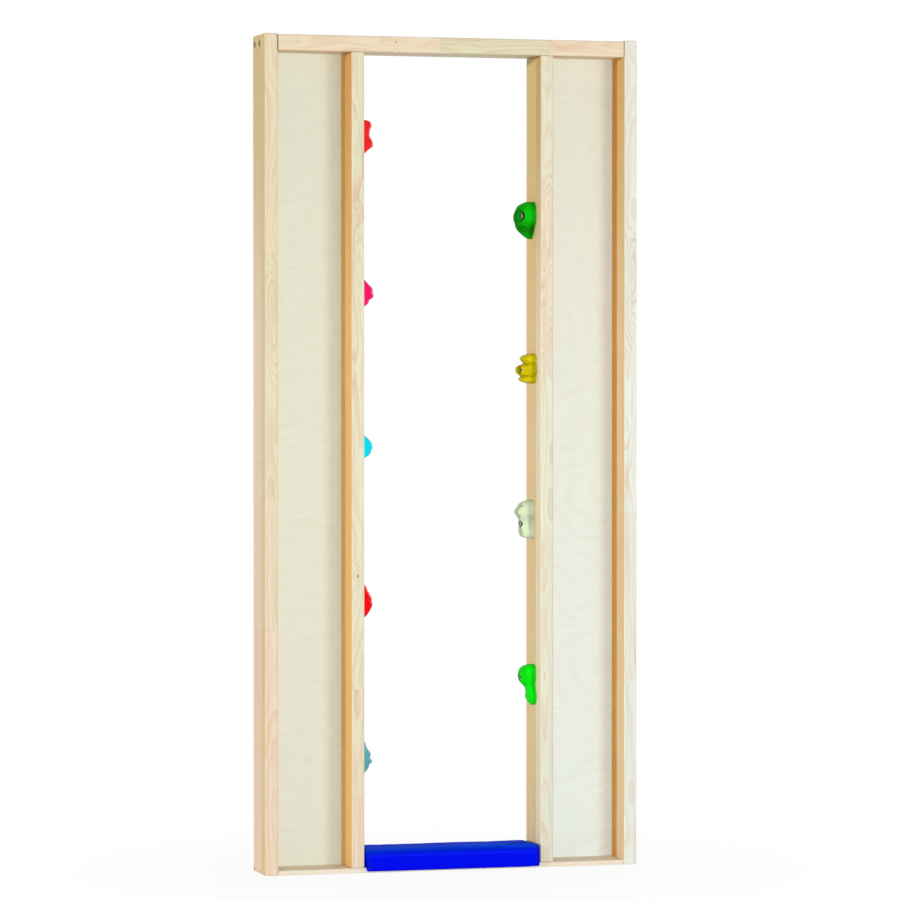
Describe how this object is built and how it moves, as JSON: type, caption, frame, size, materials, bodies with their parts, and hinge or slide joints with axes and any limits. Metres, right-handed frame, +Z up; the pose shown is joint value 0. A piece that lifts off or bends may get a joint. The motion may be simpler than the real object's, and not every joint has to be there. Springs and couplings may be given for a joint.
{
  "type": "climbing frame with holds",
  "caption": "Tall timber frame with an open climbing passage between two panelled bays, bolt-on grips up both inner posts and a padded landing mat across the foot.",
  "frame": {"origin": "on the floor, in the middle of the frame's width and of its posts' depth", "axes": "+Z up, +X to the right seen from the front, the front faces -Y"},
  "size_m": [0.928, 0.133, 2],
  "materials": {
    "pine": "satin",
    "plywood": "satin",
    "zinc_screw": "satin",
    "bolt_steel": "satin",
    "mat_vinyl": "satin",
    "resin_red": "satin",
    "resin_pink": "satin",
    "resin_cyan": "satin",
    "resin_crimson": "satin",
    "resin_petrol": "satin",
    "resin_green": "satin",
    "resin_yellow": "satin",
    "resin_cream": "satin",
    "resin_lime": "satin"
  },
  "bodies": {
    "frame": {"post_outer_left": "pine", "post_outer_right": "pine", "post_inner_left": "pine", "post_inner_right": "pine", "header_rail": "pine", "base_plate": "pine", "panel_left": "plywood", "panel_right": "plywood", "screw_header_left_1": "zinc_screw", "screw_header_left_2": "zinc_screw", "screw_header_right_1": "zinc_screw", "screw_header_right_2": "zinc_screw", "screw_base_left_1": "zinc_screw", "screw_base_left_2": "zinc_screw", "screw_base_right_1": "zinc_screw", "screw_base_right_2": "zinc_screw", "screw_inner_top_left_1": "zinc_screw", "screw_inner_top_left_2": "zinc_screw", "screw_inner_top_right_1": "zinc_screw", "screw_inner_top_right_2": "zinc_screw", "screw_inner_foot_left": "zinc_screw", "screw_inner_foot_right": "zinc_screw", "hold_left_1_red_bolt": "bolt_steel", "hold_left_1_red_sleeve": "bolt_steel", "hold_left_2_pink_bolt": "bolt_steel", "hold_left_2_pink_sleeve": "bolt_steel", "hold_left_3_cyan_bolt": "bolt_steel", "hold_left_3_cyan_sleeve": "bolt_steel", "hold_left_4_crimson_bolt": "bolt_steel", "hold_left_4_crimson_sleeve": "bolt_steel", "hold_left_5_petrol_bolt": "bolt_steel", "hold_left_5_petrol_sleeve": "bolt_steel", "hold_right_1_green_bolt": "bolt_steel", "hold_right_1_green_sleeve": "bolt_steel", "hold_right_2_yellow_bolt": "bolt_steel", "hold_right_2_yellow_sleeve": "bolt_steel", "hold_right_3_cream_bolt": "bolt_steel", "hold_right_3_cream_sleeve": "bolt_steel", "hold_right_4_lime_bolt": "bolt_steel", "hold_right_4_lime_sleeve": "bolt_steel"},
    "mat": {"landing_mat": "mat_vinyl"},
    "hold_left_1_red_body": {"hold_left_1_red": "resin_red", "hold_left_1_red_washer": "bolt_steel"},
    "hold_left_2_pink_body": {"hold_left_2_pink": "resin_pink", "hold_left_2_pink_washer": "bolt_steel"},
    "hold_left_3_cyan_body": {"hold_left_3_cyan": "resin_cyan", "hold_left_3_cyan_washer": "bolt_steel"},
    "hold_left_4_crimson_body": {"hold_left_4_crimson": "resin_crimson", "hold_left_4_crimson_washer": "bolt_steel"},
    "hold_left_5_petrol_body": {"hold_left_5_petrol": "resin_petrol", "hold_left_5_petrol_washer": "bolt_steel"},
    "hold_right_1_green_body": {"hold_right_1_green": "resin_green", "hold_right_1_green_washer": "bolt_steel"},
    "hold_right_2_yellow_body": {"hold_right_2_yellow": "resin_yellow", "hold_right_2_yellow_washer": "bolt_steel"},
    "hold_right_3_cream_body": {"hold_right_3_cream": "resin_cream", "hold_right_3_cream_washer": "bolt_steel"},
    "hold_right_4_lime_body": {"hold_right_4_lime": "resin_lime", "hold_right_4_lime_washer": "bolt_steel"}
  },
  "joints": [
    {"name": "hold_left_1_red_turn", "type": "hinge", "parent": "frame", "child": "hold_left_1_red_body", "pos_m": [-0.22, 0, 1.762], "axis": [1, 0, 0], "continuous": true},
    {"name": "hold_left_2_pink_turn", "type": "hinge", "parent": "frame", "child": "hold_left_2_pink_body", "pos_m": [-0.22, 0, 1.3895], "axis": [1, 0, 0], "continuous": true},
    {"name": "hold_left_3_cyan_turn", "type": "hinge", "parent": "frame", "child": "hold_left_3_cyan_body", "pos_m": [-0.22, 0, 1.017], "axis": [1, 0, 0], "continuous": true},
    {"name": "hold_left_4_crimson_turn", "type": "hinge", "parent": "frame", "child": "hold_left_4_crimson_body", "pos_m": [-0.22, 0, 0.6445], "axis": [1, 0, 0], "continuous": true},
    {"name": "hold_left_5_petrol_turn", "type": "hinge", "parent": "frame", "child": "hold_left_5_petrol_body", "pos_m": [-0.22, 0, 0.272], "axis": [1, 0, 0], "continuous": true},
    {"name": "hold_right_1_green_turn", "type": "hinge", "parent": "frame", "child": "hold_right_1_green_body", "pos_m": [0.22, 0, 1.5745], "axis": [1, 0, 0], "continuous": true},
    {"name": "hold_right_2_yellow_turn", "type": "hinge", "parent": "frame", "child": "hold_right_2_yellow_body", "pos_m": [0.22, 0, 1.202], "axis": [1, 0, 0], "continuous": true},
    {"name": "hold_right_3_cream_turn", "type": "hinge", "parent": "frame", "child": "hold_right_3_cream_body", "pos_m": [0.22, 0, 0.8295], "axis": [1, 0, 0], "continuous": true},
    {"name": "hold_right_4_lime_turn", "type": "hinge", "parent": "frame", "child": "hold_right_4_lime_body", "pos_m": [0.22, 0, 0.457], "axis": [1, 0, 0], "continuous": true},
    {"name": "mat_lift", "type": "slide", "parent": "frame", "child": "mat", "axis": [0, 0, 1], "range_m": [0, 0.15]}
  ]
}
